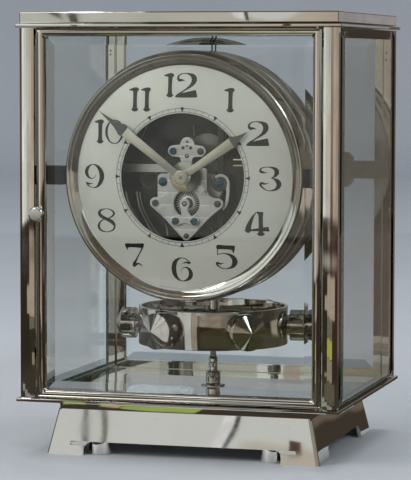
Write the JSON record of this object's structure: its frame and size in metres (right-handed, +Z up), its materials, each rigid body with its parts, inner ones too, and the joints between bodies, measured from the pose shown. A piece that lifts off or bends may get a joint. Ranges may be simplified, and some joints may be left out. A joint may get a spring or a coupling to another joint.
{
  "type": "mantel clock",
  "caption": "Glazed nickel mantel clock on a flared plinth, with an open-centred dial, a rocking motor drum and a torsion pendulum of weights on a ring.",
  "frame": {"origin": "centre of the bounding box on the surface that the clock stands on", "axes": "+Z up, the dial and the door face -Y, +X is to the right as seen from the front"},
  "size_m": [0.187, 0.165, 0.25],
  "materials": {
    "polished_nickel": "polished nickel plate over brass",
    "satin_nickel": "satin nickel",
    "polished_steel": "polished steel and nickel",
    "silvered_dial": "matt silvered brass with black printed numerals and track",
    "brass": "fine turned brass",
    "blackened_brass": "matt black lacquer on brass",
    "plate_glass": "clear plate glass with a ground and polished bevel and a green edge",
    "tube_glass": "clear sealed glass tube",
    "movement_nickel": "grained nickel plate on brass with polished bevels",
    "hand_silver": "silvered hand with a dark pointed end",
    "spring_steel": "tempered spring steel",
    "black_bracket": "matt black enamel"
  },
  "bodies": {
    "case": {"barrel_bridge": "brass", "bezel": "polished_nickel", "bottom_plate": "polished_nickel", "cap": "polished_nickel", "dial": "silvered_dial", "drum_arbor": "polished_steel", "escape_cock": "movement_nickel", "floor_pillar": "polished_steel", "front_bracket_left": "black_bracket", "front_bracket_right": "black_bracket", "hinge_pin_bottom": "polished_steel", "hinge_pin_top": "polished_steel", "movement_back_plate": "blackened_brass", "movement_bridge": "movement_nickel", "movement_case": "polished_nickel", "plinth": "polished_nickel", "post_front_left": "polished_nickel", "post_front_right": "polished_nickel", "post_rear_left": "polished_nickel", "post_rear_right": "polished_nickel", "rear_cross_bar": "satin_nickel", "rear_frame": "polished_nickel", "rear_glass": "plate_glass", "rear_yoke": "satin_nickel", "side_glass_left": "plate_glass", "side_glass_right": "plate_glass", "suspension_hanger": "blackened_brass", "top_plate": "polished_nickel", "torsion_wire": "spring_steel"},
    "door": {"door_frame": "polished_nickel", "door_glass": "plate_glass"},
    "knob": {"door_knob": "polished_nickel"},
    "minute": {"centre_wheel": "brass", "minute_hand": "hand_silver"},
    "hour": {"hour_wheel": "brass", "hour_hand": "hand_silver"},
    "motion": {"minute_wheel": "brass"},
    "third": {"third_wheel": "brass"},
    "escape": {"escape_wheel": "polished_steel"},
    "pallets": {"pallet_lever": "polished_steel"},
    "barrel": {"mainspring_barrel": "brass", "mainspring": "spring_steel"},
    "winder": {"winding_arbor": "polished_steel"},
    "drum": {"motor_drum": "polished_nickel", "drum_rear_cover": "polished_nickel", "motor_tube": "tube_glass"},
    "pendulum": {"pendulum_ring": "polished_steel", "pendulum_spider": "polished_steel", "pendulum_weight_1": "polished_steel", "pendulum_weight_2": "polished_steel", "pendulum_weight_3": "polished_steel", "pendulum_weight_4": "polished_steel", "pendulum_weight_5": "polished_steel", "pendulum_weight_6": "polished_steel"},
    "lock": {"lock_sleeve": "polished_nickel"},
    "foot_front_left": {"levelling_foot_front_left": "polished_steel"},
    "foot_front_right": {"levelling_foot_front_right": "polished_steel"},
    "foot_rear_left": {"levelling_foot_rear_left": "polished_steel"},
    "foot_rear_right": {"levelling_foot_rear_right": "polished_steel"}
  },
  "joints": [
    {"name": "door_hinge", "type": "hinge", "parent": "case", "child": "door", "pos_m": [0.0796, -0.0723, 0.1372], "axis": [0, 0, 1], "range_deg": [0, 95]},
    {"name": "knob_turn", "type": "hinge", "parent": "door", "child": "knob", "pos_m": [-0.07955, -0.0745, 0.1372], "axis": [0, 1, 0], "range_deg": [0, 90]},
    {"name": "centre_turn", "type": "hinge", "parent": "case", "child": "minute", "pos_m": [0, -0.0505, 0.1583], "axis": [0, 1, 0], "continuous": true},
    {"name": "hour_turn", "type": "hinge", "parent": "case", "child": "hour", "pos_m": [0, -0.0505, 0.1583], "axis": [0, 1, 0], "continuous": true},
    {"name": "motion_turn", "type": "hinge", "parent": "case", "child": "motion", "pos_m": [0.00975, -0.0505, 0.15147], "axis": [0, 1, 0], "continuous": true},
    {"name": "third_turn", "type": "hinge", "parent": "case", "child": "third", "pos_m": [-0.00895, -0.0505, 0.15093], "axis": [0, 1, 0], "continuous": true},
    {"name": "escape_turn", "type": "hinge", "parent": "case", "child": "escape", "pos_m": [0, -0.0505, 0.1433], "axis": [0, 1, 0], "continuous": true},
    {"name": "barrel_turn", "type": "hinge", "parent": "case", "child": "barrel", "pos_m": [0, -0.0395, 0.1793], "axis": [0, 1, 0], "continuous": true},
    {"name": "winder_turn", "type": "hinge", "parent": "case", "child": "winder", "pos_m": [0, -0.0395, 0.1793], "axis": [0, 1, 0], "continuous": true},
    {"name": "pallet_rock", "type": "hinge", "parent": "case", "child": "pallets", "pos_m": [0, -0.0505, 0.1253], "axis": [0, 1, 0], "range_deg": [-3, 3]},
    {"name": "drum_rock", "type": "hinge", "parent": "case", "child": "drum", "pos_m": [0, -0.0285, 0.1583], "axis": [0, 1, 0], "range_deg": [-20, 20]},
    {"name": "pendulum_swing", "type": "hinge", "parent": "case", "child": "pendulum", "pos_m": [0, 0.0029, 0.0699], "axis": [0, 0, 1], "range_deg": [-180, 180], "stiffness_Nm_per_rad": 0.00003},
    {"name": "lock_slide", "type": "slide", "parent": "case", "child": "lock", "axis": [0, 0, 1], "range_m": [0, 0.006]},
    {"name": "foot_front_left_screw", "type": "slide", "parent": "case", "child": "foot_front_left", "axis": [0, 0, -1], "range_m": [0, 0.004]},
    {"name": "foot_front_right_screw", "type": "slide", "parent": "case", "child": "foot_front_right", "axis": [0, 0, -1], "range_m": [0, 0.004]},
    {"name": "foot_rear_left_screw", "type": "slide", "parent": "case", "child": "foot_rear_left", "axis": [0, 0, -1], "range_m": [0, 0.004]},
    {"name": "foot_rear_right_screw", "type": "slide", "parent": "case", "child": "foot_rear_right", "axis": [0, 0, -1], "range_m": [0, 0.004]}
  ],
  "couplings": [
    {"joint": "third_turn", "follows": "centre_turn", "ratio": -3.75},
    {"joint": "escape_turn", "follows": "centre_turn", "ratio": 14.062},
    {"joint": "motion_turn", "follows": "centre_turn", "ratio": -0.33333},
    {"joint": "hour_turn", "follows": "centre_turn", "ratio": 0.083333},
    {"joint": "barrel_turn", "follows": "centre_turn", "ratio": -0.2}
  ]
}
